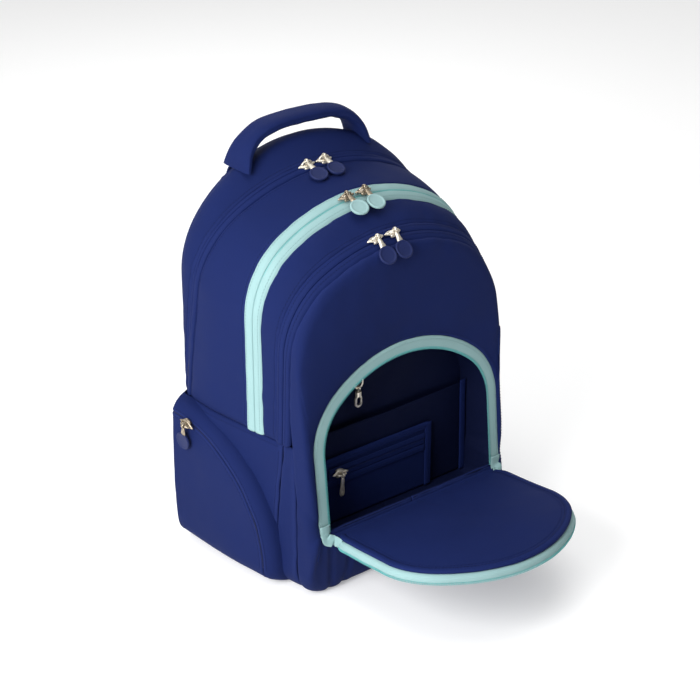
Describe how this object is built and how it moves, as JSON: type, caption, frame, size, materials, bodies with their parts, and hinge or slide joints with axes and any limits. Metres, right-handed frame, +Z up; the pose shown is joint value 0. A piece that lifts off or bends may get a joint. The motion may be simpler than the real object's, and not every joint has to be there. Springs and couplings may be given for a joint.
{
  "type": "school backpack",
  "caption": "Soft school backpack with zipped compartments, side pockets, carry handle, shoulder straps and a fold-down front pocket flap.",
  "frame": {"origin": "on the floor under the middle of the bag, on the base face", "axes": "+X to the right seen from the front, -Y out of the front pocket, +Z up"},
  "size_m": [0.3614, 0.4472, 0.47],
  "materials": {
    "navy_fabric": "woven polyester, soft sheen",
    "navy_lining": "smooth lining",
    "navy_tape": "woven zip tape with coil",
    "aqua_tape": "woven zip tape with coil",
    "navy_binding": "woven binding",
    "mesh_fabric": "spacer mesh",
    "foam": "closed-cell foam",
    "board_plastic": "stiffener board",
    "silver_metal": "plated zinc, polished",
    "antique_metal": "antique plating",
    "black_plastic": "moulded",
    "webbing": "ribbed webbing"
  },
  "bodies": {
    "root": {"back_foam": "foam", "back_pads": "mesh_fabric", "back_panel": "navy_fabric", "base_board": "board_plastic", "clip_loop": "webbing", "front_gusset": "navy_fabric", "front_panel": "navy_fabric", "front_zip": "navy_tape", "inner_zip": "navy_tape", "inner_zip_pocket": "navy_lining", "lower_body": "navy_fabric", "middle_divider": "navy_lining", "middle_gusset": "navy_fabric", "middle_zip": "aqua_tape", "pocket_liner": "navy_lining", "pocket_zip": "aqua_tape", "rear_divider": "navy_lining", "rear_gusset": "navy_fabric", "rear_zip": "navy_tape", "side_pocket_left": "navy_fabric", "side_pocket_right": "navy_fabric", "side_zips": "navy_tape", "slip_pocket": "navy_lining", "strap_anchors": "webbing"},
    "flap": {"flap_panel": "navy_fabric", "flap_lining": "navy_lining", "flap_binding": "navy_binding", "flap_zip": "aqua_tape"},
    "rear_left_slider": {"rear_left_slider": "silver_metal"},
    "rear_left_pull": {"rear_left_pull": "silver_metal"},
    "rear_right_slider": {"rear_right_slider": "silver_metal"},
    "rear_right_pull": {"rear_right_pull": "silver_metal"},
    "middle_left_slider": {"middle_left_slider": "antique_metal"},
    "middle_left_pull": {"middle_left_pull": "antique_metal"},
    "middle_right_slider": {"middle_right_slider": "antique_metal"},
    "middle_right_pull": {"middle_right_pull": "antique_metal"},
    "front_left_slider": {"front_left_slider": "silver_metal"},
    "front_left_pull": {"front_left_pull": "silver_metal"},
    "front_right_slider": {"front_right_slider": "silver_metal"},
    "front_right_pull": {"front_right_pull": "silver_metal"},
    "side_left_slider": {"side_left_slider": "silver_metal"},
    "side_left_pull": {"side_left_pull": "silver_metal"},
    "side_right_slider": {"side_right_slider": "silver_metal"},
    "side_right_pull": {"side_right_pull": "silver_metal"},
    "flap_slider": {"flap_slider": "silver_metal"},
    "flap_pull": {"flap_pull": "silver_metal"},
    "inner_slider": {"inner_slider": "silver_metal"},
    "inner_pull": {"inner_pull": "silver_metal"},
    "handle": {"carry_handle": "navy_fabric", "handle_core": "foam"},
    "strap_left": {"shoulder_strap_left": "navy_fabric", "strap_webbing_left": "webbing"},
    "lock_left": {"ladder_lock_left": "black_plastic"},
    "strap_right": {"shoulder_strap_right": "navy_fabric", "strap_webbing_right": "webbing"},
    "lock_right": {"ladder_lock_right": "black_plastic"},
    "clip_ring": {"clip_ring": "silver_metal"},
    "clip_swivel": {"clip_swivel": "silver_metal"},
    "clip_hook": {"clip_hook": "silver_metal"},
    "clip_gate": {"clip_gate": "silver_metal"}
  },
  "joints": [
    {"name": "flap_hinge", "type": "hinge", "parent": "root", "child": "flap", "pos_m": [0.007, -0.10924, 0.07799], "axis": [-1, 0, 0], "range_deg": [0, 88]},
    {"name": "rear_left_travel", "type": "hinge", "parent": "root", "child": "rear_left_slider", "pos_m": [0, 0.08199, 0.23233], "axis": [0, -0.9815, -0.1914], "range_deg": [0, 26.7]},
    {"name": "rear_left_pull_swing", "type": "hinge", "parent": "rear_left_slider", "child": "rear_left_pull", "pos_m": [-0.02291, 0.04372, 0.42857], "axis": [-0.9935, 0.0218, -0.1117], "range_deg": [0, 110]},
    {"name": "rear_right_travel", "type": "hinge", "parent": "root", "child": "rear_right_slider", "pos_m": [0, 0.08199, 0.23233], "axis": [0, 0.9815, 0.1914], "range_deg": [0, 33.2]},
    {"name": "rear_right_pull_swing", "type": "hinge", "parent": "rear_right_slider", "child": "rear_right_pull", "pos_m": [0, 0.04347, 0.42985], "axis": [-1, 0, 0], "range_deg": [0, 110]},
    {"name": "middle_left_travel", "type": "hinge", "parent": "root", "child": "middle_left_slider", "pos_m": [0, -0.022, 0.21587], "axis": [0, -1, 0], "range_deg": [0, 22]},
    {"name": "middle_left_pull_swing", "type": "hinge", "parent": "middle_left_slider", "child": "middle_left_pull", "pos_m": [-0.02292, -0.024, 0.41368], "axis": [-0.9934, 0, -0.1151], "range_deg": [0, 110]},
    {"name": "middle_right_travel", "type": "hinge", "parent": "root", "child": "middle_right_slider", "pos_m": [0, -0.022, 0.21587], "axis": [0, 1, 0], "range_deg": [0, 28.6]},
    {"name": "middle_right_pull_swing", "type": "hinge", "parent": "middle_right_slider", "child": "middle_right_pull", "pos_m": [0, -0.024, 0.415], "axis": [-1, 0, 0], "range_deg": [0, 110]},
    {"name": "front_left_travel", "type": "hinge", "parent": "root", "child": "front_left_slider", "pos_m": [0, -0.06249, 0.18835], "axis": [0, -0.9992, -0.04], "range_deg": [0, 19]},
    {"name": "front_left_pull_swing", "type": "hinge", "parent": "front_left_slider", "child": "front_left_pull", "pos_m": [-0.02294, -0.07426, 0.38249], "axis": [-0.9931, 0.0047, -0.117], "range_deg": [0, 110]},
    {"name": "front_right_travel", "type": "hinge", "parent": "root", "child": "front_right_slider", "pos_m": [0, -0.06249, 0.18835], "axis": [0, 0.9992, 0.04], "range_deg": [0, 25.7]},
    {"name": "front_right_pull_swing", "type": "hinge", "parent": "front_right_slider", "child": "front_right_pull", "pos_m": [0, -0.07432, 0.38383], "axis": [-1, 0, 0], "range_deg": [0, 110]},
    {"name": "side_left_travel", "type": "hinge", "parent": "root", "child": "side_left_slider", "pos_m": [-0.17167, 0.09296, 0.02], "axis": [0.9936, 0.1132, 0], "range_deg": [0, 66]},
    {"name": "side_left_pull_swing", "type": "hinge", "parent": "side_left_slider", "child": "side_left_pull", "pos_m": [-0.17748, 0.06269, 0.15841], "axis": [-0.1107, 0.9719, 0.2079], "range_deg": [0, 110]},
    {"name": "side_right_travel", "type": "hinge", "parent": "root", "child": "side_right_slider", "pos_m": [0.17167, 0.09296, 0.02], "axis": [0.9936, -0.1132, 0], "range_deg": [0, 66]},
    {"name": "side_right_pull_swing", "type": "hinge", "parent": "side_right_slider", "child": "side_right_pull", "pos_m": [0.17748, 0.06269, 0.15841], "axis": [-0.1107, -0.9719, -0.2079], "range_deg": [0, 110]},
    {"name": "flap_slider_travel", "type": "slide", "parent": "flap", "child": "flap_slider", "axis": [0, -0.9903, 0.1392], "range_m": [0, 0.058]},
    {"name": "flap_pull_swing", "type": "hinge", "parent": "flap_slider", "child": "flap_pull", "pos_m": [0.12475, -0.13187, 0.06067], "axis": [0, 0.9903, -0.1392], "range_deg": [-60, 60]},
    {"name": "inner_slider_travel", "type": "slide", "parent": "root", "child": "inner_slider", "axis": [1, 0, 0], "range_m": [0, 0.111]},
    {"name": "inner_pull_swing", "type": "hinge", "parent": "inner_slider", "child": "inner_pull", "pos_m": [-0.062, -0.0673, 0.115], "axis": [-1, 0, 0], "range_deg": [0, 95]},
    {"name": "handle_tilt", "type": "hinge", "parent": "root", "child": "handle", "pos_m": [-0.003, 0.084, 0.44], "axis": [1, 0, 0], "range_deg": [-12, 12], "stiffness_Nm_per_rad": 0.4},
    {"name": "strap_left_swing", "type": "hinge", "parent": "root", "child": "strap_left", "pos_m": [-0.128, 0.106, 0.04], "axis": [0.2099, 0.0051, 0.9777], "range_deg": [0, 26]},
    {"name": "lock_left_tilt", "type": "hinge", "parent": "strap_left", "child": "lock_left", "pos_m": [-0.093, 0.125, 0.143], "axis": [1, 0, 0], "range_deg": [0, 15]},
    {"name": "strap_right_swing", "type": "hinge", "parent": "root", "child": "strap_right", "pos_m": [0.128, 0.106, 0.04], "axis": [0.2099, -0.0051, -0.9777], "range_deg": [0, 26]},
    {"name": "lock_right_tilt", "type": "hinge", "parent": "strap_right", "child": "lock_right", "pos_m": [0.093, 0.125, 0.143], "axis": [1, 0, 0], "range_deg": [0, 15]},
    {"name": "clip_ring_swing", "type": "hinge", "parent": "root", "child": "clip_ring", "pos_m": [-0.03, -0.053, 0.214], "axis": [-1, 0, 0], "range_deg": [0, 60]},
    {"name": "clip_eye_swing", "type": "hinge", "parent": "clip_ring", "child": "clip_swivel", "pos_m": [-0.03, -0.053, 0.2039], "axis": [-1, 0, 0], "range_deg": [0, 45]},
    {"name": "clip_swivel_turn", "type": "hinge", "parent": "clip_swivel", "child": "clip_hook", "pos_m": [-0.03, -0.053, 0.195], "axis": [0, 0, 1], "continuous": true},
    {"name": "clip_gate_push", "type": "hinge", "parent": "clip_hook", "child": "clip_gate", "pos_m": [-0.0263, -0.053, 0.1857], "axis": [0, -1, 0], "range_deg": [0, 25], "stiffness_Nm_per_rad": 0.002, "springref_deg": -17.19}
  ]
}
